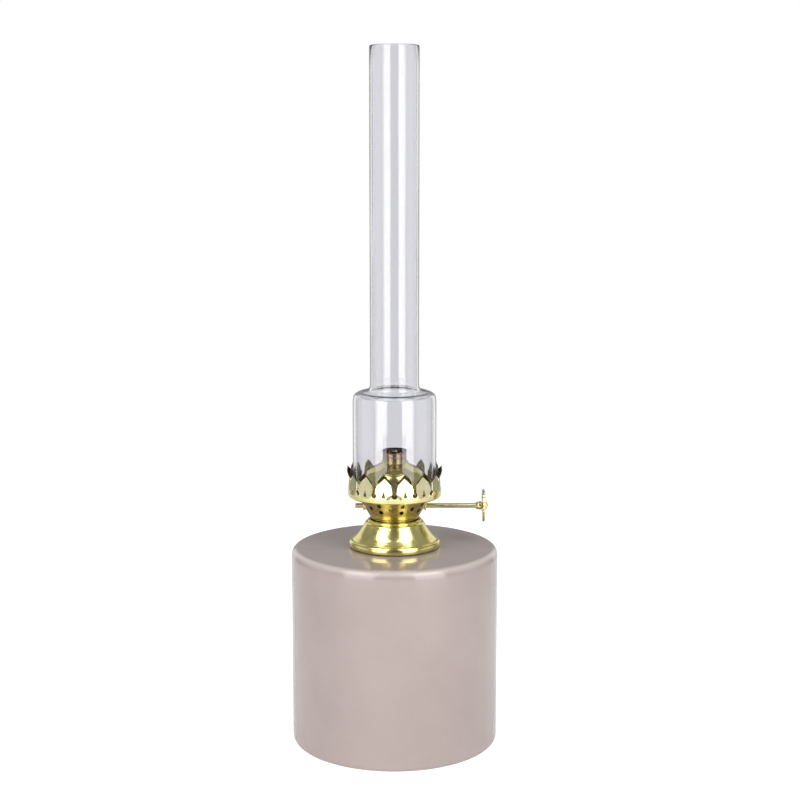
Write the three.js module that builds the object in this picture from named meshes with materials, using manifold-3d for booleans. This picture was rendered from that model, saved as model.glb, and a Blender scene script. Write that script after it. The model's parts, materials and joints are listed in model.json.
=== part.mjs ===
// A table oil lamp: a glazed ceramic font, a screw-in brass burner with a tubular wick and a
// leaf-pronged crown, and a straight glass chimney with a shoulder. Millimetres, +Z up, the
// origin at the centre of the font's foot. The wick knob points along +X.
import * as THREE from "three";
import { mergeVertices } from "three/addons/utils/BufferGeometryUtils.js";
import Module from "manifold-3d";

const wasm = await Module();
wasm.setup();

// ---- Clearances ----
const gap = 0.3; // between two faces that touch on the real lamp
const slip = 0.2; // round a piece that turns in, or is pressed onto, another
const sheet = 0.45; // thickness of the spun and stamped brass

// ---- Font: the ceramic body that holds the oil ----
const fontRadius = 42;
const fontHeight = 80.5;
const fontWall = 4;
const fontFloor = 5;
const fontRoof = 4.5;
const fontTopRound = 2.6;
const fontFootRound = 1.6;
const fontInnerRound = 6;
const footWidth = 6; // of the unglazed ring that the font stands on
const footRecess = 1.2;

// ---- Screw fitting in the font's mouth ----
const threadRadius = 13.5; // outside of the burner's screw
const threadLength = 8.6;
const threadWall = 1;
const threadDepth = 0.35;
const threadPitch = 2;
const threadPlay = 0.4;
const collarWall = 0.8;
const collarDepth = 9;
const collarLip = 0.6; // thickness of the collar's flange
const cementWall = 1.1;
const washerThick = 0.8;
const lipPlay = 0.6; // between the collar's flange and the skirt that hides it

// ---- Wick, its tube and the draught tube inside it ----
const tubeRadius = 4.85; // outside, at the mouth
const tubeWall = 0.35;
const tubeSpread = 0.6; // how much the tube's radius grows towards its foot
const tubeRise = 4.9; // above the dome
const tubeDrop = 6.7; // below the burner's floor
const wickThick = 1.1;
const wickPlay = 0.4; // between the wick and the tube round it
const draughtPlay = 0.6; // between the wick and the tube inside it
const wickSeam = THREE.MathUtils.degToRad(16); // opening left between the wick's edges
const wickLift = 8; // travel up from rest
const wickDrop = 12; // travel down from rest

// ---- Wick raiser ----
const shaftRadius = 0.95;
const shaftRise = 3.8; // above the skirt's neck
const shaftReach = 36; // from the lamp's axis to the knob
const shaftTail = 16.3; // from the lamp's axis to the other end
const toothPlay = 0.25; // between the wheels' teeth and the wick
const wheelThick = 0.8;
const wheelPlace = 2.2; // from the lamp's middle to each wheel
const wheelTeeth = 10;
const knobRadius = 6.6;
const knobThick = 1;
const knobNotches = 28;

// ---- Brass shells ----
const skirtLift = 0.4; // between the font and the skirt's edge
const skirtHeight = 11.1;
const bowlHeight = 9;
const bowlFlare = 4.79; // how much wider the bowl is at its top than at its neck
const crownHeight = 11.9;
const domeHeight = 13.35;
const leafCount = 14;
const airColumns = 9; // of air holes round the bowl; the middle row stands between the others
const airHole = 0.88;
const airRowStep = 1.45;
const airMiddle = 0.65; // share of the bowl's height below the middle row of holes

// ---- Glass chimney ----
const chimneyLength = 178.6;
const chimneyWall = 1.2;
const airGap = 1.05; // between the dome and the glass round it
const belowShoulder = 39.4; // height of the wide part
const shoulderHeight = 4.6;
const shoulderStep = 7; // how much narrower the flue is than the wide part

// ---- Levels, from the font up ----
const collarFlangeZ = fontHeight + gap;
const washerZ = collarFlangeZ + collarLip + gap;
const threadFlangeZ = washerZ + washerThick + gap;
const floorZ = threadFlangeZ + collarLip + gap;
const floorTopZ = floorZ + collarLip;
const skirtZ = fontHeight + skirtLift;
const neckZ = skirtZ + skirtHeight;
const bowlTopZ = neckZ + bowlHeight;
const crownZ = bowlTopZ + gap;
const seatZ = crownZ + sheet + gap;
const crownTopZ = crownZ + crownHeight;
const domeTopZ = seatZ + domeHeight;
const tubeTopZ = domeTopZ + tubeRise;
const tubeFootZ = floorZ - tubeDrop;
const tubeConeTopZ = seatZ + 1;
const tubeConeFootZ = floorTopZ + gap;
const shaftZ = neckZ + shaftRise;
const windowFootZ = floorTopZ + 3;
const windowTopZ = neckZ + 3;
const fontFloorZ = footRecess + fontFloor;

// ---- Radii, from the wick tube outwards ----
const tubeRadiusAt = (z) =>
  tubeRadius +
  tubeSpread * THREE.MathUtils.clamp((tubeConeTopZ - z) / (tubeConeTopZ - tubeConeFootZ), 0, 1);
const wickOuterAt = (z) => tubeRadiusAt(z) - tubeWall - wickPlay;
const draughtRadiusAt = (z) => wickOuterAt(z) - wickThick - draughtPlay;
const shaftY = tubeRadiusAt(shaftZ) + shaftRadius + 0.55; // the shaft passes behind the wick tube
const wickBackAt = (x) => Math.sqrt(wickOuterAt(shaftZ) ** 2 - x ** 2);
const wheelRadius = shaftY - wickBackAt(wheelPlace - wheelThick / 2) - toothPlay;
const coverInner = wheelRadius + 0.4;
const coverOuter = coverInner + gap;
const coverHalf = wheelPlace + wheelThick / 2 + gap + 0.4;
const bowlFootRise = 0.9; // of the bowl's cone above the skirt's neck
const bowlRimDrop = 0.8; // of the cone's end below the bowl's flange
const bowlSlope = bowlFlare / (bowlHeight - bowlFootRise - bowlRimDrop);
const coverReach = Math.hypot(coverHalf, shaftY + coverOuter * Math.hypot(1, bowlSlope));
const bowlNeck = coverReach + 1.2 * gap + sheet - bowlSlope * (shaftRise - bowlFootRise);
const bowlRadiusAt = (z) => bowlNeck + bowlSlope * (z - neckZ - bowlFootRise);
const bowlTop = bowlNeck + bowlFlare;
const bushingRadius = shaftRadius + slip + 0.45;
const bushingFlange = bushingRadius + 0.4;
const stopStart = coverHalf + gap;
const stopEnd = stopStart + 0.9;
const bushingStart = stopEnd + gap;
const bushingFace =
  Math.sqrt(bowlRadiusAt(shaftZ + bushingFlange) ** 2 - (shaftY - bushingFlange) ** 2) + gap;
const bushingEnd = bushingFace + 0.5;
const domeRadius = bowlTop + 0.1;
const crownOpening = bowlTop - 1.1;
const chimneyInner = domeRadius + airGap;
const chimneyRadius = chimneyInner + chimneyWall;
const flueRadius = chimneyRadius - shoulderStep;
const crownNeck = chimneyRadius + gap + sheet + 0.1;
const crownRadius = crownNeck + 1.1;
const crownTip = crownNeck + 1.25;
const neckBore = bowlNeck + gap;
const collarBore = threadRadius + threadPlay;
const collarOuter = collarBore + collarWall;
const cementInner = collarOuter + gap;
const mouthRadius = cementInner + cementWall + gap;
const collarFlange = mouthRadius + 1.1;
const lipRadius = collarFlange + lipPlay + sheet;

// ---- Finishes ----
const finish = (color, roughness, metalness, extra = {}) =>
  new THREE.MeshStandardMaterial({ color, roughness, metalness, ...extra });
const glaze = finish(0xc9bab2, 0.18, 0);
const plaster = finish(0xe4ded2, 0.9, 0);
const brass = finish(0xd9c877, 0.16, 1);
const innerBrass = finish(0xb89a52, 0.35, 1);
const steel = finish(0xb9b6ae, 0.3, 1);
const rubber = finish(0x2c2a28, 0.8, 0);
const cotton = finish(0xe8e0cf, 0.95, 0);
const clearGlass = finish(0xf4f7f8, 0.03, 0, { transparent: true, opacity: 0.25 });

// ---- Helpers ----
const lamp = new THREE.Group();
const at = (r, z) => new THREE.Vector2(r, z);
const fullTurn = 2 * Math.PI;

function add(name, shape, material) {
  const geometry = shape.isBufferGeometry ? shape : geometryOf(shape);
  const mesh = new THREE.Mesh(geometry, material);
  mesh.name = name;
  lamp.add(mesh);
}

function solidOf(geometry) {
  const bare = geometry.clone();
  bare.deleteAttribute("normal");
  bare.deleteAttribute("uv");
  const merged = mergeVertices(bare, 1e-4);
  return new wasm.Manifold(
    new wasm.Mesh({
      numProp: 3,
      vertProperties: merged.attributes.position.array,
      triVerts: new Uint32Array(merged.index.array),
    }),
  );
}

function geometryOf(solid) {
  const mesh = solid.getMesh();
  const geometry = new THREE.BufferGeometry();
  geometry.setAttribute("position", new THREE.BufferAttribute(mesh.vertProperties, 3));
  geometry.setIndex(new THREE.BufferAttribute(mesh.triVerts, 1));
  return geometry;
}

const cutAll = (solid, cutters) => cutters.reduce((left, cutter) => left.subtract(cutter), solid);

// Points of a rounded corner in a profile, from angle a to angle b in degrees.
function arc(r, z, radius, a, b, steps = 3) {
  return Array.from({ length: steps + 1 }, (_, i) => {
    const angle = THREE.MathUtils.degToRad(a + ((b - a) * i) / steps);
    return at(r + radius * Math.cos(angle), z + radius * Math.sin(angle));
  });
}

// A closed profile turned round the Z axis. The profile may run either way.
function turned(profile, segments = 28) {
  const area = THREE.ShapeUtils.area(profile);
  const ordered = area < 0 ? [...profile].reverse() : [...profile];
  const geometry = new THREE.LatheGeometry([...ordered, ordered[0].clone()], segments);
  return geometry.rotateX(Math.PI / 2);
}

// The closed profile of a sheet whose outer face follows a line; the sheet lies to the line's left.
function bentSheet(line, thickness = sheet) {
  const inner = line.map((point, i) => {
    const before = line[Math.max(i - 1, 0)];
    const after = line[Math.min(i + 1, line.length - 1)];
    const along = after.clone().sub(before).normalize();
    return at(point.x - along.y * thickness, point.y + along.x * thickness);
  });
  return [...line, ...inner.reverse()];
}

const ring = (inner, outer, low, high, segments = 28) =>
  turned([at(inner, low), at(outer, low), at(outer, high), at(inner, high)], segments);

// A rod along X from one place to another, at the shaft's own height and depth.
function rodAlongX(radius, from, to, sides = 16) {
  const rod = new THREE.CylinderGeometry(radius, radius, to - from, sides);
  return rod.rotateZ(-Math.PI / 2).translate((from + to) / 2, shaftY, shaftZ);
}

function collarAlongX(inner, outer, from, to, sides = 16) {
  return solidOf(rodAlongX(outer, from, to, sides)).subtract(
    solidOf(rodAlongX(inner, from - 1, to + 1, sides)),
  );
}

// A flat outline, x across and y up, pushed out along -Y and turned round the lamp's axis.
function radialCutter(points, near, far, angle, base = 0) {
  const outline = new THREE.Shape(points);
  const block = new THREE.ExtrudeGeometry(outline, { depth: far - near, bevelEnabled: false });
  block.rotateX(Math.PI / 2).translate(0, -near, base);
  return solidOf(block.rotateZ(angle));
}

function radialHole(radius, near, far, angle, z, sides = 6) {
  const drill = new THREE.CylinderGeometry(radius, radius, far - near, sides);
  return solidOf(drill.translate(0, -(near + far) / 2, z).rotateZ(angle));
}

// ---- Font ----
function ceramicFont() {
  const inner = fontRadius - fontWall;
  const roofZ = fontHeight - fontRoof;
  const footInner = fontRadius - footWidth;
  return turned(
    [
      at(0, footRecess),
      at(footInner - footRecess, footRecess),
      at(footInner, 0),
      ...arc(fontRadius - fontFootRound, fontFootRound, fontFootRound, -90, 0),
      ...arc(fontRadius - fontTopRound, fontHeight - fontTopRound, fontTopRound, 0, 90, 4),
      at(mouthRadius + 0.6, fontHeight),
      at(mouthRadius, fontHeight - 0.6),
      at(mouthRadius, roofZ),
      ...arc(inner - fontInnerRound, roofZ - fontInnerRound, fontInnerRound, 90, 0),
      ...arc(inner - fontInnerRound, fontFloorZ + fontInnerRound, fontInnerRound, 0, -90),
      at(0, fontFloorZ),
    ],
    36,
  );
}

function fontCollar() {
  const lowZ = fontHeight - collarDepth;
  return turned([
    at(collarBore, lowZ),
    at(collarOuter, lowZ),
    at(collarOuter, collarFlangeZ),
    at(collarFlange, collarFlangeZ),
    at(collarFlange, collarFlangeZ + collarLip),
    at(collarBore, collarFlangeZ + collarLip),
  ]);
}

const cementRing = () =>
  ring(cementInner, cementInner + cementWall, fontHeight - fontRoof + gap, fontHeight);

const sealingWasher = () =>
  ring(collarBore + gap, collarFlange - gap, washerZ, washerZ + washerThick);

// ---- Burner base ----
// The screw's ridges are turned rings here: only their outside size matters to the fit.
function threadRing() {
  const bore = threadRadius - threadWall;
  const footZ = threadFlangeZ - threadLength;
  const ridges = Math.floor((threadLength - 1.4) / threadPitch);
  const flank = [];
  for (let i = 0; i < ridges; i++) {
    const z = footZ + 0.6 + i * threadPitch;
    flank.push(at(threadRadius - threadDepth, z));
    flank.push(at(threadRadius, z + threadPitch * 0.4));
    flank.push(at(threadRadius - threadDepth, z + threadPitch * 0.8));
  }
  return turned([
    at(bore, footZ),
    at(threadRadius - threadDepth, footZ),
    ...flank,
    at(threadRadius - threadDepth, threadFlangeZ),
    at(collarFlange - gap * 3, threadFlangeZ),
    at(collarFlange - gap * 3, threadFlangeZ + collarLip),
    at(bore, threadFlangeZ + collarLip),
  ]);
}

function burnerFloor() {
  const plate = ring(tubeRadiusAt(floorZ) + gap, lipRadius - 3, floorZ, floorTopZ);
  const vent = new THREE.CylinderGeometry(0.9, 0.9, 3, 10).rotateX(Math.PI / 2);
  return solidOf(plate).subtract(solidOf(vent.translate(-lipRadius / 2, 0, floorZ)));
}

function burnerSkirt() {
  const z = (share) => skirtZ + skirtHeight * share;
  const shoulder = neckBore + 1.4;
  const flare = (share) => shoulder + (lipRadius - shoulder) * share;
  const cone = new THREE.SplineCurve([
    at(flare(0.7), z(0.33)),
    at(flare(0.42), z(0.54)),
    at(flare(0.2), z(0.76)),
    at(shoulder, z(0.91)),
  ]).getPoints(5);
  return turned(
    bentSheet([
      at(lipRadius - 0.35, skirtZ),
      at(lipRadius, z(0.06)),
      at(lipRadius, z(0.17)),
      at(lipRadius - 0.45, z(0.25)),
      at(lipRadius - 1.3, z(0.29)),
      ...cone,
      at(shoulder - 0.35, z(0.98)),
      at(neckBore, neckZ),
    ]),
    28,
  );
}

// ---- Bowl that lets the air in ----
function airBowl() {
  const shell = turned(
    bentSheet([
      at(bowlNeck - gap, neckZ - 2),
      at(bowlNeck - gap, neckZ + 0.2),
      at(bowlNeck, neckZ + bowlFootRise),
      at((bowlNeck + bowlTop) / 2, neckZ + (bowlHeight + bowlFootRise - bowlRimDrop) / 2),
      at(bowlTop, bowlTopZ - bowlRimDrop),
      at(bowlTop + 0.3, bowlTopZ - sheet),
      at(bowlTop + 1, bowlTopZ - sheet),
    ]),
    24,
  );
  const middle = neckZ + bowlHeight * airMiddle;
  const holes = [];
  for (let i = 0; i < airColumns * 2; i++) {
    const angle = ((i / 2 + 0.34) * fullTurn) / airColumns;
    const levels = i % 2 ? [middle] : [middle - airRowStep, middle + airRowStep];
    for (const z of levels) {
      const across = bowlRadiusAt(z) * Math.cos(angle) + shaftY;
      const clear = Math.hypot(across, z - shaftZ) - airHole - bushingFlange;
      if (clear > gap) holes.push(radialHole(airHole, bowlNeck - 3, bowlTop + 3, angle, z));
    }
  }
  const bearings = solidOf(rodAlongX(bushingRadius + slip, -fontRadius, fontRadius));
  return cutAll(solidOf(shell), [...holes, bearings]);
}

// ---- Crown that holds the chimney ----
function crownGallery() {
  const shell = turned(
    bentSheet([
      at(crownOpening, crownZ),
      at(crownRadius - 0.9, crownZ),
      ...arc(crownRadius - 0.9, crownZ + 0.9, 0.9, -45, 0, 1),
      at(crownRadius + 0.1, crownZ + 4),
      at(crownRadius - 0.1, crownZ + 7.4),
      at(crownNeck, crownZ + 9.9),
      at(crownTip, crownTopZ),
    ]),
    leafCount * 2,
  );
  const halfPitch = (crownRadius * Math.PI) / leafCount;
  const leaf = [
    // half the width of a leaf at each height above the crown's floor
    [3.4, halfPitch - 0.7],
    [5.2, halfPitch - 0.45],
    [7.6, halfPitch * 0.76],
    [10.2, halfPitch * 0.4],
    [crownHeight, halfPitch * 0.05],
    [crownHeight + 2, 0.02],
  ];
  const right = leaf.map(([height, half]) => at(halfPitch - half, height));
  const left = leaf.map(([height, half]) => at(half - halfPitch, height)).reverse();
  const slot = [at(0, 2.6), ...right, ...left];
  const drop = [at(-0.95, 2.9), at(0.95, 2.9), at(0, 5.2)];
  const draughtRing = (domeRadius + chimneyInner) / 2;
  const cutters = [];
  for (let i = 0; i < leafCount; i++) {
    const angle = (i * fullTurn) / leafCount;
    cutters.push(radialCutter(slot, crownNeck - 3, crownTip + 2, angle, crownZ));
    const onLeaf = angle + Math.PI / leafCount;
    cutters.push(radialCutter(drop, crownNeck - 3, crownTip + 2, onLeaf, crownZ));
    const hole = new THREE.CylinderGeometry(0.6, 0.6, 3, 6).rotateX(Math.PI / 2);
    cutters.push(solidOf(hole.translate(0, -draughtRing, crownZ).rotateZ(angle)));
  }
  return cutAll(solidOf(shell), cutters);
}

function airDome() {
  const foot = domeRadius;
  const mouth = tubeRadius + 0.35;
  const curve = new THREE.SplineCurve([
    at(foot, seatZ + 1.6),
    at(foot * 0.975, seatZ + domeHeight * 0.33),
    at(foot * 0.81, seatZ + domeHeight * 0.652),
    at(mouth + (foot - mouth) * 0.45, seatZ + domeHeight * 0.82),
    at(mouth, domeTopZ),
  ]).getPoints(7);
  return turned(bentSheet([at(foot, seatZ), ...curve]), 30);
}

// ---- Wick tube and draught tube ----
function wickTube() {
  const levels = [tubeFootZ, tubeConeFootZ, tubeConeTopZ, tubeTopZ];
  const outer = levels.map((z) => at(tubeRadiusAt(z), z));
  const inner = levels.map((z) => at(tubeRadiusAt(z) - tubeWall, z)).reverse();
  const shell = solidOf(turned([...outer, ...inner], 36));
  const wheelWindow = new THREE.BoxGeometry(
    2 * wheelPlace + wheelThick + 2 * gap,
    tubeRadius,
    2 * wheelRadius + 2 * gap,
  );
  wheelWindow.translate(0, tubeRadius + tubeRadius * 0.2, shaftZ);
  return cutAll(shell, [solidOf(wheelWindow), airWindow()]);
}

// The pointed opening in the front of both tubes, where air enters the middle of the flame.
function airWindow() {
  const tall = windowTopZ - windowFootZ;
  const outline = [at(-1.5, 0), at(1.5, 0), at(1.2, tall * 0.5), at(0, tall), at(-1.2, tall * 0.5)];
  return radialCutter(outline, 0, tubeRadius * 2, 0, windowFootZ);
}

function draughtTube() {
  const footZ = tubeFootZ + 2;
  const topZ = tubeTopZ - 0.6;
  const levels = [footZ, tubeConeFootZ, tubeConeTopZ, topZ];
  const outer = levels.map((z) => at(draughtRadiusAt(z), z));
  const inner = [tubeConeFootZ, tubeConeTopZ, topZ].map((z) =>
    at(draughtRadiusAt(z) - tubeWall, z),
  );
  const shell = turned([at(0, footZ), ...outer, ...inner.reverse(), at(0, tubeConeFootZ)], 28);
  // A rib through the wick's seam holds this tube in the other one.
  const ribReach = tubeRadiusAt(footZ) - tubeWall - gap;
  const ribStart = draughtRadiusAt(footZ) - tubeWall;
  const rib = new THREE.BoxGeometry(0.8, ribReach - ribStart, windowFootZ - footZ - 0.4);
  rib.translate(0, -(ribReach + ribStart) / 2, (windowFootZ + footZ - 0.4) / 2);
  return solidOf(shell).add(solidOf(rib)).subtract(airWindow());
}

// A flat band rolled round the draught tube; below the burner it opens out and hangs flat.
function wickBand() {
  const middleAt = (z) => wickOuterAt(z) - wickThick / 2;
  const width = middleAt(tubeTopZ) * (fullTurn - wickSeam);
  const topZ = tubeTopZ - 0.4;
  const footZ = fontFloorZ + wickDrop + 1.8;
  const openZ = tubeFootZ - wickLift - 1; // above this the wick keeps its rolled shape
  const flatZ = openZ - 18;
  const band = new THREE.BoxGeometry(width, wickThick, 1, 16, 1, 10);
  const place = band.getAttribute("position");
  for (let i = 0; i < place.count; i++) {
    const share = place.getZ(i) + 0.5;
    const z = footZ + (topZ - footZ) * share;
    const opened = THREE.MathUtils.smoothstep(openZ - z, 0, openZ - flatZ);
    const rolled = middleAt(z);
    const middle = rolled / (1 - 0.93 * opened);
    const angle = place.getX(i) / middle;
    const radius = middle + place.getY(i);
    place.setXYZ(i, radius * Math.sin(angle), rolled - middle + radius * Math.cos(angle), z);
  }
  return band;
}

// ---- Wick raiser: a shaft with two toothed wheels behind the wick tube ----
function toothedWheel(place) {
  const outline = new THREE.Shape();
  for (let i = 0; i < wheelTeeth * 2; i++) {
    const radius = i % 2 ? wheelRadius - 0.55 : wheelRadius;
    const angle = (i * Math.PI) / wheelTeeth;
    outline[i ? "lineTo" : "moveTo"](radius * Math.cos(angle), radius * Math.sin(angle));
  }
  const disc = new THREE.ExtrudeGeometry(outline, { depth: wheelThick, bevelEnabled: false });
  disc.rotateY(Math.PI / 2).translate(place - wheelThick / 2, shaftY, shaftZ);
  return solidOf(disc).subtract(
    solidOf(rodAlongX(shaftRadius + slip, place - wheelThick, place + wheelThick)),
  );
}

function raiserCover() {
  const drum = solidOf(rodAlongX(coverOuter, -coverHalf, coverHalf, 20));
  const room = solidOf(rodAlongX(coverInner, -coverHalf + gap, coverHalf - gap, 20));
  const passage = solidOf(rodAlongX(shaftRadius + slip, -coverHalf - 1, coverHalf + 1));
  const clear = tubeRadiusAt(shaftZ - coverOuter) + gap;
  const tube = new THREE.CylinderGeometry(clear, clear, 4 * coverOuter, 36).rotateX(Math.PI / 2);
  const front = new THREE.BoxGeometry(4 * clear, clear + 3, 4 * coverOuter);
  return cutAll(drum, [
    room,
    passage,
    solidOf(tube.translate(0, 0, shaftZ)),
    solidOf(front.translate(0, 3 - (clear + 3) / 2, shaftZ)),
  ]);
}

// A short sleeve with a flange, pressed through the bowl's wall.
function shaftBushing() {
  const sleeve = solidOf(rodAlongX(bushingRadius, bushingStart, bushingEnd));
  const flange = solidOf(rodAlongX(bushingFlange, bushingFace, bushingEnd));
  const bore = solidOf(rodAlongX(shaftRadius + slip, bushingStart - 1, bushingEnd + 1));
  return sleeve.add(flange).subtract(bore);
}

function knobDisc() {
  const outline = new THREE.Shape();
  for (let i = 0; i < knobNotches * 2; i++) {
    const radius = i % 2 ? knobRadius - 0.25 : knobRadius;
    const angle = (i * Math.PI) / knobNotches;
    outline[i ? "lineTo" : "moveTo"](radius * Math.cos(angle), radius * Math.sin(angle));
  }
  const disc = new THREE.ExtrudeGeometry(outline, { depth: knobThick, bevelEnabled: false });
  disc.rotateY(Math.PI / 2).translate(shaftReach, shaftY, shaftZ);
  return solidOf(disc).subtract(
    solidOf(rodAlongX(shaftRadius + slip, shaftReach - 1, shaftReach + knobThick + 1)),
  );
}

function knobRivet() {
  const face = shaftReach + knobThick + gap;
  const dome = arc(0, 0, shaftRadius + 0.7, 0, 90).map((point) => at(point.x, point.y * 0.6));
  dome[dome.length - 1].x = 0;
  const head = new THREE.LatheGeometry([at(0, 0), ...dome], 16);
  return head.rotateZ(-Math.PI / 2).translate(face, shaftY, shaftZ);
}

// ---- Glass chimney ----
function chimneyGlass() {
  const shoulderZ = seatZ + belowShoulder;
  const topZ = seatZ + chimneyLength;
  const outer = new THREE.SplineCurve([
    at(chimneyRadius, shoulderZ - 0.6),
    at(chimneyRadius - 0.6, shoulderZ + 1.2),
    at(chimneyRadius - 2.4, shoulderZ + 2.5),
    at(chimneyRadius - 4.8, shoulderZ + 3.3),
    at(flueRadius + 0.5, shoulderZ + 4),
    at(flueRadius, shoulderZ + shoulderHeight + 0.8),
  ]).getPoints(8);
  const line = [at(chimneyRadius, seatZ), ...outer, at(flueRadius, topZ)];
  return turned(bentSheet(line, chimneyWall), 28);
}

// ---- Assembly ----
const brightPieces = [
  ["burner_skirt", burnerSkirt()],
  ["air_bowl", airBowl()],
  ["crown_gallery", crownGallery()],
  ["air_dome", airDome()],
];
const innerPieces = [
  ["font_collar", fontCollar()],
  ["burner_thread_ring", threadRing()],
  ["burner_floor", burnerFloor()],
  ["wick_tube", wickTube()],
  ["draught_tube", draughtTube()],
  ["raiser_cover", raiserCover()],
  ["shaft_bushing_right", shaftBushing()],
  ["shaft_bushing_left", shaftBushing().mirror([1, 0, 0])],
];
const raiserPieces = [
  ["raiser_shaft", rodAlongX(shaftRadius, -shaftTail, shaftReach + knobThick)],
  ["raiser_wheel_right", toothedWheel(wheelPlace)],
  ["raiser_wheel_left", toothedWheel(-wheelPlace)],
  ["shaft_stop_ring", collarAlongX(shaftRadius + slip, bushingRadius, stopStart, stopEnd)],
  [
    "knob_hub",
    collarAlongX(shaftRadius + slip, shaftRadius + 0.75, shaftReach - gap - 2.4, shaftReach - gap),
  ],
  ["knob_disc", knobDisc()],
  ["knob_rivet", knobRivet()],
];
add("ceramic_font", ceramicFont(), glaze);
add("collar_cement", cementRing(), plaster);
add("sealing_washer", sealingWasher(), rubber);
for (const [name, shape] of brightPieces) add(name, shape, brass);
for (const [name, shape] of innerPieces) add(name, shape, innerBrass);
for (const [name, shape] of raiserPieces) add(name, shape, name.startsWith("knob") ? brass : steel);
add("wick", wickBand(), cotton);
add("chimney", chimneyGlass(), clearGlass);

export default lamp;
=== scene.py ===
import json
import math
import bmesh
import bpy
from mathutils import Matrix, Vector


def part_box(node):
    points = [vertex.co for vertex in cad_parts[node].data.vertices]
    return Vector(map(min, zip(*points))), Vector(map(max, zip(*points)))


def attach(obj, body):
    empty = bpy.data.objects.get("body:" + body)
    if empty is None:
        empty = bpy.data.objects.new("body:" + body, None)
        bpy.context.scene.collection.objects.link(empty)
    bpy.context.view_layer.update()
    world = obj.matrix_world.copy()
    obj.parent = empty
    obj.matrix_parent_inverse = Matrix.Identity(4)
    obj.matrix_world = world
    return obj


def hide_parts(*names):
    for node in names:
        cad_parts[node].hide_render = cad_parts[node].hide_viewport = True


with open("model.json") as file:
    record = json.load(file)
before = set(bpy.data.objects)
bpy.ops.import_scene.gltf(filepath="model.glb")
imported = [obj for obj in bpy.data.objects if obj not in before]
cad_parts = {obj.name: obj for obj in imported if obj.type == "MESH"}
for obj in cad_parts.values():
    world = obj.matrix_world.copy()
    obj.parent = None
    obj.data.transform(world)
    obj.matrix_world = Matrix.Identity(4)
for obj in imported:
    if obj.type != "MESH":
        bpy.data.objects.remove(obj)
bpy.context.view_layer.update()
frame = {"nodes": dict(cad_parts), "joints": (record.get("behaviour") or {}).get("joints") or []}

# A table oil lamp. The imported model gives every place; sizes below are in millimetres.
mm = 0.001
scene = bpy.context.scene


def span(node):
    # lowest and highest corner of a node of the model, in millimetres
    low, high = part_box(node)
    return Vector(low) / mm, Vector(high) / mm


def radiusOf(node):
    low, high = span(node)
    return (high.x - low.x) / 2


# places that several pieces share
font = {"radius": radiusOf("ceramic_font"), "top": span("ceramic_font")[1].z}
tubeTop = span("wick_tube")[1].z
knobTurn = next(joint for joint in frame["joints"] if joint["name"] == "knob_turn")
shaft = {"y": knobTurn["pos_m"][1] / mm, "z": knobTurn["pos_m"][2] / mm}
sheet = 0.45  # thickness of the burner's sheet brass


def smoothLine(points, steps=6):
    # a curve through all the points, Catmull-Rom
    line = []
    for i in range(len(points) - 1):
        a = Vector(points[max(i - 1, 0)])
        b, c = Vector(points[i]), Vector(points[i + 1])
        d = Vector(points[min(i + 2, len(points) - 1)])
        for k in range(steps):
            t = k / steps
            line.append(0.5 * (2 * b + (c - a) * t + (2 * a - 5 * b + 4 * c - d) * t * t
                               + (3 * b - a - 3 * c + d) * t ** 3))
    line.append(Vector(points[-1]))
    return line


def rounded(corners, steps=4):
    # a closed outline of (r, z, corner radius), with its corners rounded
    line = []
    count = len(corners)
    for i, (r, z, bend) in enumerate(corners):
        here = Vector((r, z))
        toLast = Vector(corners[i - 1][:2]) - here
        toNext = Vector(corners[(i + 1) % count][:2]) - here
        bend = min(bend, toLast.length * 0.49, toNext.length * 0.49)
        if bend < 1e-4:
            line.append(here)
            continue
        start = here + toLast.normalized() * bend
        end = here + toNext.normalized() * bend
        for k in range(steps + 1):
            t = k / steps
            line.append(start.lerp(here, t).lerp(here.lerp(end, t), t))
    return line


def sheetOutline(line, thick, capSteps=3):
    # the closed outline of a bent sheet: thick millimetres to the left of the line, with round ends
    line = [Vector(p) for p in line]
    other = []
    for i, point in enumerate(line):
        along = (line[min(i + 1, len(line) - 1)] - line[max(i - 1, 0)]).normalized()
        other.append(point + Vector((-along.y, along.x)) * thick)
    outline = list(line)
    for near, far, way in ((line[-1], other[-1], 1), (other[0], line[0], -1)):
        middle, half = (near + far) / 2, (near - far) / 2
        ahead = Vector((-half.y, half.x)) * 0.8
        for k in range(1, capSteps):
            turn = math.pi * k / capSteps
            outline.append(middle + half * math.cos(turn) + ahead * math.sin(turn))
        if way > 0:
            outline.extend(reversed(other))
    return outline


def addObject(name, points, faces, finish, smooth=True):
    mesh = bpy.data.meshes.new(name)
    mesh.from_pydata([Vector(p) * mm for p in points], [], faces)
    mesh.validate()
    piece = bpy.data.objects.new(name, mesh)
    scene.collection.objects.link(piece)
    mesh.materials.append(finish)
    tidyNormals(mesh)
    mesh.polygons.foreach_set("use_smooth", [smooth] * len(mesh.polygons))
    return piece


def tidyNormals(mesh):
    work = bmesh.new()
    work.from_mesh(mesh)
    bmesh.ops.remove_doubles(work, verts=work.verts, dist=1e-7)
    bmesh.ops.recalc_face_normals(work, faces=work.faces)
    work.to_mesh(mesh)
    work.free()


def turned(name, outline, finish, segments=160, wave=None):
    # turns a closed (r, z) outline round the lamp's axis
    points, faces, rows = [], [], []
    for r, z in outline:
        row = []
        if r < 1e-5:
            row = [len(points)] * segments
            points.append((0, 0, z))
        else:
            for k in range(segments):
                angle = 2 * math.pi * k / segments
                reach = r + (wave(angle, r, z) if wave else 0)
                row.append(len(points))
                points.append((reach * math.cos(angle), reach * math.sin(angle), z))
        rows.append(row)
    for i, low in enumerate(rows):
        high = rows[(i + 1) % len(rows)]
        if low[0] == low[1] and high[0] == high[1]:
            continue
        for k in range(segments):
            n = (k + 1) % segments
            face = [low[k], low[n], high[n], high[k]]
            faces.append(list(dict.fromkeys(face)))
    return addObject(name, points, faces, finish)


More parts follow.
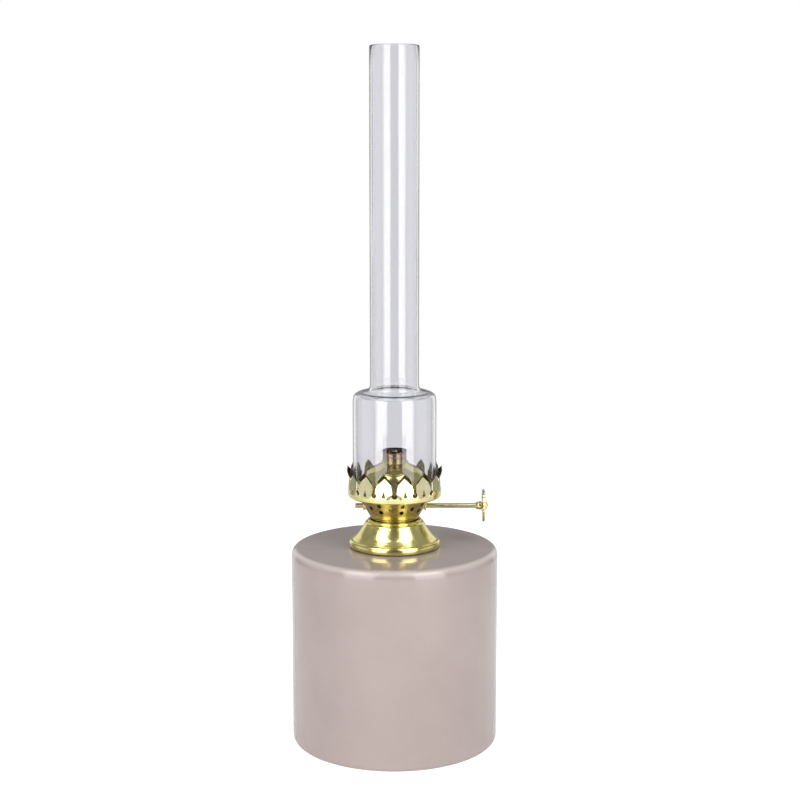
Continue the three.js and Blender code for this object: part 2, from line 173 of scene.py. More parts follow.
def settle(piece, *modifiers):
    # adds modifiers as (kind, settings), then makes their result the piece's own mesh
    for kind, settings in modifiers:
        modifier = piece.modifiers.new(kind.title(), kind)
        for key, value in settings.items():
            setattr(modifier, key, value)
    graph = bpy.context.evaluated_depsgraph_get()
    mesh = bpy.data.meshes.new_from_object(piece.evaluated_get(graph))
    piece.modifiers.clear()
    piece.data = mesh
    mesh.polygons.foreach_set("use_smooth", [True] * len(mesh.polygons))
    return piece


def keepCreases(piece, degrees=35):
    piece.data.set_sharp_from_angle(angle=math.radians(degrees))
    return piece


def place(piece, body, slot, *nodes):
    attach(piece, body)
    if nodes:
        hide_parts(*nodes)
    return piece


class NodeBench:
    # adds nodes to a tree, one line at a time
    def __init__(self, tree):
        self.tree = tree

    def node(self, kind, links=None, **settings):
        node = self.tree.nodes.new(kind)
        for key, value in settings.items():
            setattr(node, key, value)
        for key, value in (links or {}).items():
            self.feed(node.inputs[key], value)
        return node

    def feed(self, socket, value):
        if isinstance(value, bpy.types.NodeSocket):
            self.tree.links.new(value, socket)
        else:
            socket.default_value = value

    def math(self, operation, a, b=0.0):
        return self.node("ShaderNodeMath", {0: a, 1: b}, operation=operation).outputs[0]

    def times(self, a, b):
        return self.math("MULTIPLY", a, b)

    def plus(self, a, b):
        return self.math("ADD", a, b)

    def ramp(self, value, low, high, fromValue=0.35, toValue=0.65, kind="LINEAR"):
        links = {"Value": value, "From Min": fromValue, "From Max": toValue, "To Min": low, "To Max": high}
        return self.node("ShaderNodeMapRange", links, interpolation_type=kind).outputs["Result"]

    def parts(self, vector):
        outputs = self.node("ShaderNodeSeparateXYZ", {0: vector}).outputs
        return outputs[0], outputs[1], outputs[2]


class Finish(NodeBench):
    # a Principled material; place is in millimetres, and away is the distance from the lamp's axis
    def __init__(self, name, **values):
        self.material = bpy.data.materials.new(name)
        self.material.use_nodes = True
        super().__init__(self.material.node_tree)
        self.shader = self.tree.nodes["Principled BSDF"]
        for key, value in values.items():
            self.shader.inputs[labelOf(key)].default_value = value
        source = self.node("ShaderNodeTexCoord").outputs["Object"]
        self.place = self.vector("SCALE", {0: source, "Scale": 1 / mm})
        self.x, self.y, self.z = self.parts(self.place)
        self.away = self.vector("LENGTH", {0: self.vector("MULTIPLY", {0: self.place, 1: (1, 1, 0)})}, "Value")

    def vector(self, operation, links, result=0):
        return self.node("ShaderNodeVectorMath", links, operation=operation).outputs[result]

    def spread(self, x, y, z):
        return self.node("ShaderNodeCombineXYZ", {0: x, 1: y, 2: z}).outputs[0]

    def noise(self, vector, scale, detail=3.0, roughness=0.5):
        links = {"Vector": vector, "Scale": scale, "Detail": detail, "Roughness": roughness}
        return self.node("ShaderNodeTexNoise", links).outputs["Fac"]

    def mix(self, share, a, b):
        node = self.node("ShaderNodeMix", data_type="RGBA")
        for socket, value in (("Factor", share), ("A", a), ("B", b)):
            self.feed(node.inputs[socket], value)
        return node.outputs["Result"]

    def bump(self, height, strength, distance, under=None):
        links = {"Height": height, "Strength": strength, "Distance": distance}
        if under is not None:
            links["Normal"] = under
        return self.node("ShaderNodeBump", links).outputs["Normal"]

    def show(self, **links):
        for key, value in links.items():
            self.feed(self.shader.inputs[labelOf(key)], value)
        return self.material


def labelOf(key):
    names = {"baseColor": "Base Color", "specular": "Specular IOR Level", "transmission": "Transmission Weight",
             "coat": "Coat Weight", "coatRoughness": "Coat Roughness", "sheen": "Sheen Weight",
             "sheenRoughness": "Sheen Roughness", "ior": "IOR"}
    return names.get(key, key.title())


spunLook = {"patches": 0.16, "fine": 1.4, "ringsClose": 9.0, "rings": 0.06, "ringDepth": 0.00002,
            "dents": 0.35, "dent": 0.05, "dentDepth": 0.0003, "sootRough": 0.55}


def spunBrass(name, bright, dull, roughFrom, roughTo, soot=None):
    # brass spun on a lathe: faint rings, slow change of colour, a few duller patches
    look = spunLook
    finish = Finish(name, metallic=1.0)
    place, z = finish.place, finish.z
    lines = finish.noise(finish.spread(finish.times(finish.away, look["ringsClose"]), 0.0,
                                       finish.times(z, look["ringsClose"])), 1.0, 2.0, 0.5)
    patches = finish.noise(place, look["patches"], 4.0, 0.6)
    color = finish.mix(finish.ramp(patches, 0.0, 1.0, 0.35, 0.7), bright, dull)
    rough = finish.ramp(finish.noise(place, look["fine"], 3.0, 0.6), roughFrom, roughTo, 0.3, 0.75)
    if soot:
        ragged = finish.ramp(finish.noise(place, 0.9, 4.0, 0.7), -soot["ragged"], soot["ragged"])
        edge = finish.plus(z, ragged)
        warm = finish.ramp(edge, 0.0, 1.0, soot["warmFrom"], soot["warmTo"])
        black = finish.ramp(edge, 0.0, 1.0, soot["blackFrom"], soot["blackTo"])
        color = finish.mix(finish.times(warm, soot["warmShare"]), color, soot["warm"])
        color = finish.mix(black, color, soot["black"])
        rough = finish.plus(rough, finish.times(black, look["sootRough"]))
    normal = finish.bump(lines, look["rings"], look["ringDepth"])
    normal = finish.bump(finish.noise(place, look["dents"], 2.0), look["dent"], look["dentDepth"], normal)
    return finish.show(baseColor=color, roughness=rough, normal=normal)


crownShape = {
    "leaves": 14, "acrossHalf": 9, "mouth": 13.4, "hem": 0.9, "draughtHole": 0.6, "flatten": 0.46,
    "keyholeAt": 3.7, "keyhole": 1.1, "dropFoot": 2.75, "dropTop": 5.4, "dropHalf": 0.92,
    "foldAt": 10.45, "foldSlope": 0.95, "flick": 1.15, "waist": 4.75, "wallGap": 0.15,
    "flatFrom": 2.2, "flatTo": 9.6, "flatFade": 2.5, "flickFrom": 7.2, "flickFade": 1.6, "edge": 0.07,
    "halfWidths": [(4.75, 3.62), (6, 3.5), (7.2, 3.2), (8.4, 2.75),  # height, half width of a leaf
                   (9.5, 2.15), (10.4, 1.55), (11.2, 0.9), (11.9, 0.04)],
}
crownLook = {
    "foot": span("crown_gallery")[0].z, "radius": radiusOf("crown_gallery") - 0.6,
    # painted reflection: the near-black tip colour, its share and its mask stand in for the dark that the
    # flicked-out leaf tips mirror
    "paintedTipFrom": -0.05, "paintedTipTo": 0.4, "paintedTipShare": 0.97, "paintedTipReflection": (0.026, 0.021, 0.013, 1), "ragged": 0.25,
    "hemTo": 2.9, "hemFade": 1.2, "hem": (0.66, 0.60, 0.26, 1), "rough": (0.12, 0.2), "paintedTipRough": 0.2,
}


def leafBrassPaintedLight(name, bright, dull):
    # the crown's brass, paler than the burner's other brass as a painted highlight: each leaf's tip above a
    # pointed fold is painted near black as a painted reflection, and its hem is deeper in colour
    look, leaves = crownLook, crownShape["leaves"]
    finish = Finish(name, metallic=1.0)
    place, z = finish.place, finish.z
    turn = finish.times(finish.math("ARCTAN2", finish.y, finish.x), leaves / (2 * math.pi))
    inLeaf = finish.math("FRACT", finish.plus(turn, leaves / 4 + leaves))
    share = finish.math("ABSOLUTE", finish.math("SUBTRACT", inLeaf, 0.5))
    across = finish.times(share, 2 * math.pi * look["radius"] / leaves)
    fold = finish.plus(finish.math("SUBTRACT", z, look["foot"] + crownShape["foldAt"]),
                       finish.times(across, crownShape["foldSlope"]))
    ragged = finish.ramp(finish.noise(place, 1.1, 4.0, 0.7), -look["ragged"], look["ragged"])
    # painted reflection: each leaf tip above the pointed fold is darkened nearly to black
    paintedTipReflection = finish.ramp(finish.plus(fold, ragged), 0.0, 1.0, look["paintedTipFrom"], look["paintedTipTo"])
    patches = finish.noise(place, spunLook["patches"], 4.0, 0.6)
    fine = finish.noise(place, spunLook["fine"], 3.0, 0.6)
    color = finish.mix(finish.ramp(patches, 0.0, 0.7, 0.35, 0.7), bright, dull)
    color = finish.mix(finish.times(paintedTipReflection, look["paintedTipShare"]), color, look["paintedTipReflection"])
    hemTop = look["foot"] + look["hemTo"]
    color = finish.mix(finish.ramp(z, 0.0, 1.0, hemTop, hemTop - look["hemFade"]), color, look["hem"])
    rough = finish.plus(finish.ramp(fine, *look["rough"], 0.3, 0.75), finish.times(paintedTipReflection, look["paintedTipRough"]))
    return finish.show(baseColor=color, roughness=rough,
                       normal=finish.bump(finish.noise(place, 0.9, 3.0), 0.05, 0.0001))


def drawnMetal(name, bright, dull, roughFrom, roughTo):
    # wire and rod: fine scratches along X
    finish = Finish(name, metallic=1.0)
    grain = finish.noise(finish.spread(finish.times(finish.x, 0.3), finish.times(finish.y, 12.0),
                                       finish.times(finish.z, 12.0)), 1.0, 3.0, 0.6)
    patches = finish.noise(finish.place, 0.5, 3.0, 0.6)
    return finish.show(baseColor=finish.mix(finish.ramp(patches, 0.0, 1.0), bright, dull),
                       roughness=finish.ramp(grain, roughFrom, roughTo),
                       normal=finish.bump(grain, 0.04, 0.00001))


glazeLook = {
    "light": (0.318, 0.259, 0.244, 1), "deep": (0.294, 0.238, 0.223, 1), "cloudSize": 0.03,
    "speck": (0.27, 0.215, 0.19, 1), "specks": 0.35, "rough": (0.10, 0.17),
    "edge": (0.50, 0.45, 0.41, 1), "rimHighlightShare": 0.55,  # painted highlight: the upper edge is lightened along the top fillet, partly also the glaze running thin there
    "rimHighlightFrom": font["radius"] - 2.6, "rimHighlightTo": font["radius"] - 1.0,
    "topFrom": font["top"] - 2.4, "topTo": font["top"] - 0.9,
}


def glazedCeramic(look):
    finish = Finish("glaze", specular=0.5, ior=1.52, coat=0.35, coatRoughness=0.03)
    place = finish.place
    clouds = finish.ramp(finish.noise(place, look["cloudSize"], 4.0, 0.6), 0.0, 1.0)
    specks = finish.ramp(finish.noise(place, 1.7, 2.0, 0.5), 0.0, look["specks"], 0.62, 0.72)
    color = finish.mix(specks, finish.mix(clouds, look["light"], look["deep"]), look["speck"])
    # painted highlight: the glaze is lightened round the upper outer edge
    rimHighlight = finish.ramp(finish.away, 0.0, 1.0, look["rimHighlightFrom"], look["rimHighlightTo"])
    top = finish.ramp(finish.z, 0.0, 1.0, look["topFrom"], look["topTo"])
    color = finish.mix(finish.times(finish.times(rimHighlight, top), look["rimHighlightShare"]), color, look["edge"])
    normal = finish.bump(finish.noise(place, 0.05, 2.0), 0.10, 0.0012)
    normal = finish.bump(finish.noise(place, 0.55, 2.0), 0.03, 0.0003, normal)
    return finish.show(baseColor=color, normal=normal,
                       roughness=finish.ramp(finish.noise(place, 0.4, 3.0), *look["rough"]))


grittyLooks = {
    "bare clay": {"dark": (0.63, 0.57, 0.50, 1), "pale": (0.74, 0.69, 0.62, 1), "specular": 0.3,
                  "grit": (3.0, 5.0, 0.7), "rough": (0.75, 0.95), "relief": 0.35, "depth": 0.0001},
    "collar cement": {"dark": (0.60, 0.57, 0.50, 1), "pale": (0.82, 0.79, 0.72, 1), "specular": 0.25,
                      "grit": (2.2, 6.0, 0.75), "rough": (0.8, 0.97), "relief": 0.5, "depth": 0.00015},
    "washer rubber": {"dark": (0.018, 0.017, 0.016, 1), "pale": (0.04, 0.038, 0.036, 1), "specular": 0.35,
                      "grit": (2.0, 4.0, 0.6), "rough": (0.6, 0.85), "relief": 0.15, "depth": 0.00008},
}


def gritty(name):
    look = grittyLooks[name]
    finish = Finish(name, specular=look["specular"])
    grit = finish.noise(finish.place, *look["grit"])
    return finish.show(baseColor=finish.mix(grit, look["dark"], look["pale"]),
                       roughness=finish.ramp(grit, *look["rough"]),
                       normal=finish.bump(grit, look["relief"], look["depth"]))


glassLook = {"tint": (0.90, 0.90, 0.925, 1), "depthTint": (0.62, 0.63, 0.70, 1), "density": 35,
             "wave": 0.10, "waveDepth": 0.0005, "smear": 0.03}


def blownGlass(look):
    # clear tube glass: long drawn waves and a few faint smears
    finish = Finish("chimney glass", transmission=1.0, ior=1.47, metallic=0.0, baseColor=look["tint"])
    waves = finish.noise(finish.spread(finish.times(finish.x, 0.22), finish.times(finish.y, 0.22),
                                       finish.times(finish.z, 0.02)), 1.0, 2.0, 0.4)
    smears = finish.noise(finish.place, 0.12, 3.0, 0.6)
    inside = finish.node("ShaderNodeVolumeAbsorption")
    inside.inputs["Color"].default_value = look["depthTint"]
    inside.inputs["Density"].default_value = look["density"]
    finish.tree.links.new(inside.outputs[0], finish.tree.nodes["Material Output"].inputs["Volume"])
    return finish.show(roughness=finish.ramp(smears, 0.0, look["smear"], 0.5, 0.8),
                       normal=finish.bump(waves, look["wave"], look["waveDepth"]))


wickLook = {
    "ribs": 0.9, "picks": 0.55, "dark": (0.62, 0.55, 0.42, 1), "pale": (0.85, 0.80, 0.68, 1),
    "ragged": 0.7, "brown": (0.10, 0.055, 0.03, 1), "black": (0.006, 0.005, 0.004, 1),
    "brownFrom": tubeTop - 5.0, "brownTo": tubeTop - 2.2,
    "blackFrom": tubeTop - 2.6, "blackTo": tubeTop - 1.2,
}


def wovenCotton(look):
    # flat-woven wick: ribs along it, picks across it, burnt at the top
    finish = Finish("wick cotton", specular=0.1, sheen=0.25, sheenRoughness=0.5)
    along = finish.parts(finish.node("ShaderNodeUVMap").outputs[0])
    ribs = finish.math("SINE", finish.times(along[0], 2 * math.pi * look["ribs"]))
    picks = finish.math("SINE", finish.times(along[1], 2 * math.pi * look["picks"]))
    weave = finish.times(ribs, picks)
    fuzz = finish.noise(finish.place, 5.0, 4.0, 0.7)
    color = finish.mix(finish.ramp(weave, 0.0, 1.0, -1.0, 1.0), look["dark"], look["pale"])
    edge = finish.plus(finish.z, finish.ramp(fuzz, -look["ragged"], look["ragged"]))
    brown = finish.ramp(edge, 0.0, 1.0, look["brownFrom"], look["brownTo"])
    black = finish.ramp(edge, 0.0, 1.0, look["blackFrom"], look["blackTo"])
    color = finish.mix(black, finish.mix(brown, color, look["brown"]), look["black"])
    return finish.show(baseColor=color, roughness=finish.ramp(fuzz, 0.85, 1.0),
                       normal=finish.bump(finish.plus(finish.times(weave, 0.5), fuzz), 0.6, 0.00018))


paleBrass, dullBrass = (0.83, 0.755, 0.31, 1), (0.70, 0.61, 0.22, 1)
domeSoot = {
    "ragged": 0.8, "warmFrom": tubeTop - 9.5, "warmTo": tubeTop - 4.5, "warmShare": 0.75,
    "warm": (0.36, 0.26, 0.10, 1), "blackFrom": tubeTop - 3.2, "blackTo": tubeTop,
    "black": (0.05, 0.04, 0.03, 1),
}
tubeSoot = {
    "ragged": 0.75, "warmFrom": tubeTop - 6.5, "warmTo": tubeTop - 3.2, "warmShare": 0.92,
    "warm": (0.27, 0.185, 0.15, 1), "blackFrom": tubeTop - 0.95, "blackTo": tubeTop + 0.1,
    "black": (0.012, 0.010, 0.009, 1),
}
finishes = {  # brass and steel: light colour, dull colour, roughness from and to
    "glaze": glazedCeramic(glazeLook),
    "clay": gritty("bare clay"),
    "plaster": gritty("collar cement"),
    "rubber": gritty("washer rubber"),
    "glass": blownGlass(glassLook),
    "cotton": wovenCotton(wickLook),
    "brass": spunBrass("polished brass", paleBrass, dullBrass, 0.12, 0.24),
    # painted highlight: the leaves' brass is a paler, whiter copy of the burner brass; their tips also carry a
    # painted reflection
    "leafBrassPaintedLight": leafBrassPaintedLight("leaf brass painted light", (0.90, 0.84, 0.55, 1), (0.80, 0.70, 0.34, 1)),
    # painted shade: the bowl's brass is a darker copy of the burner brass, standing in for the shade under the
    # crown
    "bowlBrassShaded": spunBrass("bowl brass painted shade", (0.66, 0.56, 0.25, 1), (0.52, 0.41, 0.17, 1), 0.16, 0.30),
    "domeBrass": spunBrass("dome brass", paleBrass, dullBrass, 0.07, 0.18, domeSoot),
    "tubeBrass": spunBrass("wick tube brass", paleBrass, dullBrass, 0.20, 0.38, tubeSoot),
    "knobBrass": spunBrass("turned brass", (0.84, 0.74, 0.40, 1), (0.70, 0.58, 0.29, 1), 0.14, 0.26),
    "innerBrass": spunBrass("plain brass", (0.55, 0.44, 0.20, 1), (0.42, 0.30, 0.13, 1), 0.22, 0.42),
    "rod": drawnMetal("drawn brass rod", (0.60, 0.54, 0.35, 1), (0.50, 0.43, 0.26, 1), 0.22, 0.34),
    "steel": drawnMetal("steel", (0.56, 0.55, 0.53, 1), (0.40, 0.38, 0.35, 1), 0.2, 0.4),
}
print("finishes ready")


studio = {
    "cameraAt": (0.0022, -0.630, 0.2382), "tilt": 8.8, "lens": 71.27,
    "floorRadius": 0.46, "floorSides": 96, "floorColors": ((0.93, 0.93, 0.93, 1), (0.95, 0.95, 0.95, 1)),
    "floorGlow": 0.08, "floorSeenGlow": 0.40,
    "skyThroughGlass": 0.90, "skyForLight": 0.25, "roomFront": 0.10, "roomBack": 0.33, "roomSide": 0.45,
    "aimHeight": 0.14,
}
softboxes = {  # middle, then width and height, all in metres, then watts
    "left_softbox": ((-0.33, -0.422, 0.26), (0.36, 0.66), 1.05),
    "right_softbox": ((0.33, -0.422, 0.26), (0.36, 0.66), 1.08),
    "upper_left_softbox": ((-0.41, -0.30, 0.80), (0.46, 0.52), 1.25),
    "upper_right_softbox": ((0.38, -0.33, 0.80), (0.48, 0.52), 1.45),
    "rear_softbox_left": ((-0.30, 0.47, 0.30), (0.26, 0.70), 0.16),
    "rear_softbox_right": ((0.30, 0.47, 0.30), (0.26, 0.70), 0.16),
}


def makeStudio():
    camera = bpy.data.objects.new("camera", bpy.data.cameras.new("camera"))
    camera.data.lens = studio["lens"]
    camera.data.sensor_width = 36
    camera.data.clip_start = 0.01
    camera.location = studio["cameraAt"]
    camera.rotation_euler = (math.radians(90 - studio["tilt"]), 0, 0)
    scene.collection.objects.link(camera)
    scene.camera = camera
    makeFloorSheet()
    for name, (where, size, watts) in softboxes.items():
        makeSoftbox(name, where, size, watts)
    makeSky()
    scene.view_settings.view_transform = "Standard"


def makeFloorSheet():
    # a matt white floor, a little brighter to the eye than the light it gives back
    sides, reach = studio["floorSides"], studio["floorRadius"] / mm
    turns = [2 * math.pi * k / sides for k in range(sides)]
    paint = Finish("floor", specular=0.0)
    paint.shader.inputs["Emission Color"].default_value = (1, 1, 1, 1)
    seen = paint.node("ShaderNodeLightPath").outputs["Is Camera Ray"]
    glow = paint.ramp(seen, studio["floorGlow"], studio["floorSeenGlow"], 0.0, 1.0)
    paint.feed(paint.shader.inputs["Emission Strength"], glow)
    tone = paint.noise(paint.place, 0.02, 2.0)
    paint.show(baseColor=paint.mix(tone, *studio["floorColors"]), roughness=paint.ramp(tone, 0.95, 1.0))
    ring = [(reach * math.cos(turn), reach * math.sin(turn), 0) for turn in turns]
    addObject("floor", ring, [tuple(range(sides))], paint.material, smooth=False)


def makeSoftbox(name, where, size, watts):
    lamp = bpy.data.lights.new(name, "AREA")
    lamp.shape, lamp.size, lamp.size_y, lamp.energy = "RECTANGLE", size[0], size[1], watts
    lamp.use_nodes = True
    cloth = NodeBench(lamp.node_tree)
    shares = []
    for part in cloth.parts(cloth.node("ShaderNodeNewGeometry").outputs["Parametric"])[:2]:
        # fades towards the cloth's edges
        fromMiddle = cloth.math("ABSOLUTE", cloth.math("SUBTRACT", part, 0.5))
        shares.append(cloth.ramp(fromMiddle, 1.5, 0.1, 0.45, 0.5, "SMOOTHSTEP"))
    cloth.feed(cloth.tree.nodes["Emission"].inputs["Strength"], cloth.times(*shares))
    light = bpy.data.objects.new(name, lamp)
    light.location = where
    aim = Vector((0, 0, min(where[2], studio["aimHeight"]))) - Vector(where)
    light.rotation_euler = aim.to_track_quat("-Z", "Y").to_euler()
    light.visible_camera = False
    scene.collection.objects.link(light)


def makeSky():
    # a white studio to the eye; polished metal sees a greyer room, darkest in front of the lamp
    world = bpy.data.worlds.new("studio")
    world.use_nodes = True
    scene.world = world
    sky = NodeBench(world.node_tree)
    path = sky.node("ShaderNodeLightPath").outputs
    bounced = sky.plus(path["Glossy Depth"], path["Diffuse Depth"])
    through = sky.times(sky.math("LESS_THAN", bounced, 0.5), path["Is Transmission Ray"])
    seen = sky.plus(path["Is Camera Ray"], sky.times(through, studio["skyThroughGlass"]))
    mirrored = sky.times(path["Is Glossy Ray"], sky.math("GREATER_THAN", path["Glossy Depth"], 0.5))
    counted = sky.math("MAXIMUM", sky.math("MAXIMUM", path["Is Camera Ray"], through), mirrored)
    lit = sky.times(sky.math("SUBTRACT", 1.0, counted), studio["skyForLight"])
    across, deep = sky.parts(sky.node("ShaderNodeTexCoord").outputs["Generated"])[:2]
    room = sky.ramp(deep, studio["roomFront"], studio["roomBack"], -0.97, 0.1)
    side = sky.ramp(sky.math("ABSOLUTE", across), 0.0, studio["roomSide"], 0.84, 0.97, "SMOOTHSTEP")
    mirror = sky.times(mirrored, sky.plus(room, side))
    background = sky.tree.nodes["Background"]
    sky.feed(background.inputs["Strength"], sky.plus(sky.plus(seen, lit), mirror))
    background.inputs["Color"].default_value = (1, 1, 1, 1)


makeStudio()
print("studio ready")


fontShape = {"wall": 4.0, "floor": 5.0, "roof": 4.5, "topRound": 2.6, "footRound": 1.6, "innerRound": 6.0,
             "footWidth": 6.0, "footRecess": 1.2, "bareBelow": 0.35}


def makeFont():
    s, radius, top = fontShape, font["radius"], font["top"]
    mouth = radiusOf("collar_cement") + 0.3
    inner = radius - s["wall"]
    footIn = radius - s["footWidth"]
    outline = rounded([
        (0, s["footRecess"], 0), (footIn - s["footRecess"], s["footRecess"], 0.5), (footIn, 0, 0.5),
        (radius, 0, s["footRound"] * 1.3), (radius, top, s["topRound"] * 1.35),
        (mouth, top, 0.6), (mouth, top - s["roof"], 0.5),
        (inner, top - s["roof"], s["innerRound"] * 1.3),
        (inner, s["footRecess"] + s["floor"], s["innerRound"] * 1.3), (0, s["footRecess"] + s["floor"], 0),
    ], 10)
    body = turned("ceramic_body", outline, finishes["glaze"], 224)
    body.data.materials.append(finishes["clay"])
    for face in body.data.polygons:
        face.material_index = 1 if face.center.z < s["bareBelow"] * mm else 0
    place(body, "font", "glaze", "ceramic_font")


makeFont()
print("font ready")


screw = {"pitch": 2.0, "depth": 0.42, "rowStep": 0.2, "columns": 120, "lip": 0.6,
         "bore": 12.5, "wall": 1.0, "rootShare": 0.2, "flankShare": 0.6, "edge": 0.12}
collar = {"bore": 13.9, "outer": 14.7}
washer = {"bore": 14.2, "round": 0.25}
cement = {"thick": 1.1, "footRound": 0.2, "round": 0.3}


def ridge(angle, z, low, high):
    # how far a single-start thread stands proud at an angle and a height
    turns = (z - low) / screw["pitch"] - angle / (2 * math.pi)
    share = abs((turns % 1) - 0.5) * 2
    rise = max(0.0, min(1.0, (share - screw["rootShare"]) / screw["flankShare"]))
    rise = rise * rise * (3 - 2 * rise)
    fade = max(0.0, min(1.0, (z - low) / screw["pitch"], (high - z) / screw["pitch"]))
    return rise * screw["depth"] * fade


def threadedRing(name, inner, outer, flange, low, high, outside, finish):
    # a flanged ring with a thread on its outside or in its bore
    flangeFoot = high - screw["lip"]
    count = max(2, round((flangeFoot - low) / screw["rowStep"]))
    rows = [low + (flangeFoot - low) * i / count for i in range(count + 1)]
    base = outer - screw["depth"] if outside else inner
    threaded = [(base, z) for z in rows]
    if outside:
        outline = [(inner, low)] + threaded + [(flange, flangeFoot), (flange, high), (inner, high)]
    else:
        outline = threaded + [(inner, high), (flange, high), (flange, flangeFoot),
                              (outer, flangeFoot), (outer, low)]

    def wave(angle, r, z):
        return ridge(angle, z, low, flangeFoot) if abs(r - base) < 1e-6 and z <= flangeFoot else 0

    ring = turned(name, outline, finish, screw["columns"], wave)
    settle(ring, ("BEVEL", {"width": screw["edge"] * mm, "segments": 2, "limit_method": "ANGLE",
                            "angle_limit": math.radians(60)}))
    return keepCreases(ring, 50)


def flatRing(name, node, bore, footRound, topRound, finish, segments=160):
    # a plain ring as tall and as wide as its node
    low, high = span(node)
    outer = radiusOf(node)
    return turned(name, rounded([(bore, low.z, footRound), (outer, low.z, topRound),
                                 (outer, high.z, topRound), (bore, high.z, topRound)]), finish, segments)


def makeFitting():
    low, high = span("burner_thread_ring")
    ring = threadedRing("burner_screw", screw["bore"], screw["bore"] + screw["wall"],
                        radiusOf("burner_thread_ring"), low.z, high.z, True, finishes["innerBrass"])
    place(ring, "burner", "inner_brass", "burner_thread_ring")
    low, high = span("font_collar")
    ring = threadedRing("threaded_collar", collar["bore"], collar["outer"], radiusOf("font_collar"),
                        low.z, high.z, False, finishes["brass"])
    place(ring, "font", "inner_brass", "font_collar")
    ring = flatRing("rubber_washer", "sealing_washer", washer["bore"], washer["round"], washer["round"],
                    finishes["rubber"])
    place(ring, "washer", "rubber", "sealing_washer")
    ring = flatRing("cement_bed", "collar_cement", radiusOf("collar_cement") - cement["thick"],
                    cement["footRound"], cement["round"], finishes["plaster"], 120)
    place(ring, "font", "plaster", "collar_cement")


makeFitting()
print("fitting ready")


bowlShape = {"columns": 9, "hole": 0.88, "rowStep": 1.45, "firstHole": 0.34, "middleRow": 0.65, "flange": 1.0,
             "flare": 4.79, "footRise": 0.9, "rimDrop": 0.8}
bowlShape["neck"] = radiusOf("air_bowl") - bowlShape["flange"] - bowlShape["flare"]
skirtShape = {
    "roll": 3.1, "shoulder": 1.35, "gap": 0.3,
    "flare": [(0.76, 0.285), (0.62, 0.37), (0.47, 0.47),  # share of the way out, share of the height
              (0.31, 0.62), (0.16, 0.78), (0.07, 0.88)],
}


def makeSkirt():
    s = skirtShape
    low, high = span("burner_skirt")
    lip, foot, neck = radiusOf("burner_skirt"), low.z, high.z
    bore, tall, roll = bowlShape["neck"] + s["gap"], neck - foot, s["roll"]
    shoulder = bore + s["shoulder"]
    line = [(lip - 1.0, foot + 0.35), (lip - 0.45, foot), (lip - 0.12, foot + roll * 0.12),
            (lip, foot + roll * 0.36), (lip - 0.1, foot + roll * 0.62), (lip - 0.5, foot + roll * 0.84),
            (lip - 1.05, foot + roll * 0.92), (lip - 1.4, foot + roll * 0.93)]
    flare = [(shoulder + (lip - shoulder) * out, foot + tall * up) for out, up in s["flare"]]
    edge = [(shoulder - 0.12, neck - 0.92), (bore + 0.78, neck - 0.78), (bore + 0.98, neck - 0.48),
            (bore + 0.78, neck - 0.14), (bore + 0.3, neck - 0.02), (bore + 0.02, neck - 0.02)]
    outline = sheetOutline(smoothLine(line + flare + edge, 6), sheet - 0.03)
    skirt = turned("flared_skirt", outline, finishes["brass"], 200)
    place(skirt, "burner", "bright_brass", "burner_skirt")


makeSkirt()
print("skirt ready")


def rodMesh(middle, along, radius, length, sides=20):
    # a rod's points and faces, centred on a point, in millimetres
    turn = Vector(along).to_track_quat("Z", "Y").to_matrix()
    points = [Vector(middle) + turn @ Vector((radius * math.cos(2 * math.pi * k / sides),
                                              radius * math.sin(2 * math.pi * k / sides), end * length / 2))
              for end in (-1, 1) for k in range(sides)]
    faces = [(k, (k + 1) % sides, sides + (k + 1) % sides, sides + k) for k in range(sides)]
    return points, faces + [tuple(range(sides))[::-1], tuple(range(sides, 2 * sides))]


def prismMesh(outline, near, far, turn=0.0):
    # an (x, z) outline pushed out along -Y and turned round the lamp's axis
    spin = Matrix.Rotation(turn, 3, "Z")
    count = len(outline)
    points = [spin @ Vector((x, -reach, z)) for reach in (near, far) for x, z in outline]
    faces = [(k, (k + 1) % count, count + (k + 1) % count, count + k) for k in range(count)]
    return points, faces + [tuple(range(count))[::-1], tuple(range(count, 2 * count))]


def cut(piece, shapes, way="DIFFERENCE"):
    points, faces = [], []
    for morePoints, moreFaces in shapes:
        faces += [tuple(len(points) + k for k in face) for face in moreFaces]
        points += morePoints
    cutter = addObject(piece.name + "_cutter", points, faces, piece.data.materials[0])
    settle(piece, ("BOOLEAN", {"operation": way, "solver": "EXACT", "object": cutter}))
    bpy.data.objects.remove(cutter)
    return keepCreases(piece, 40)


bushing = {"outer": 1.6, "flange": 2.0, "bore": 1.15, "lip": 0.5}


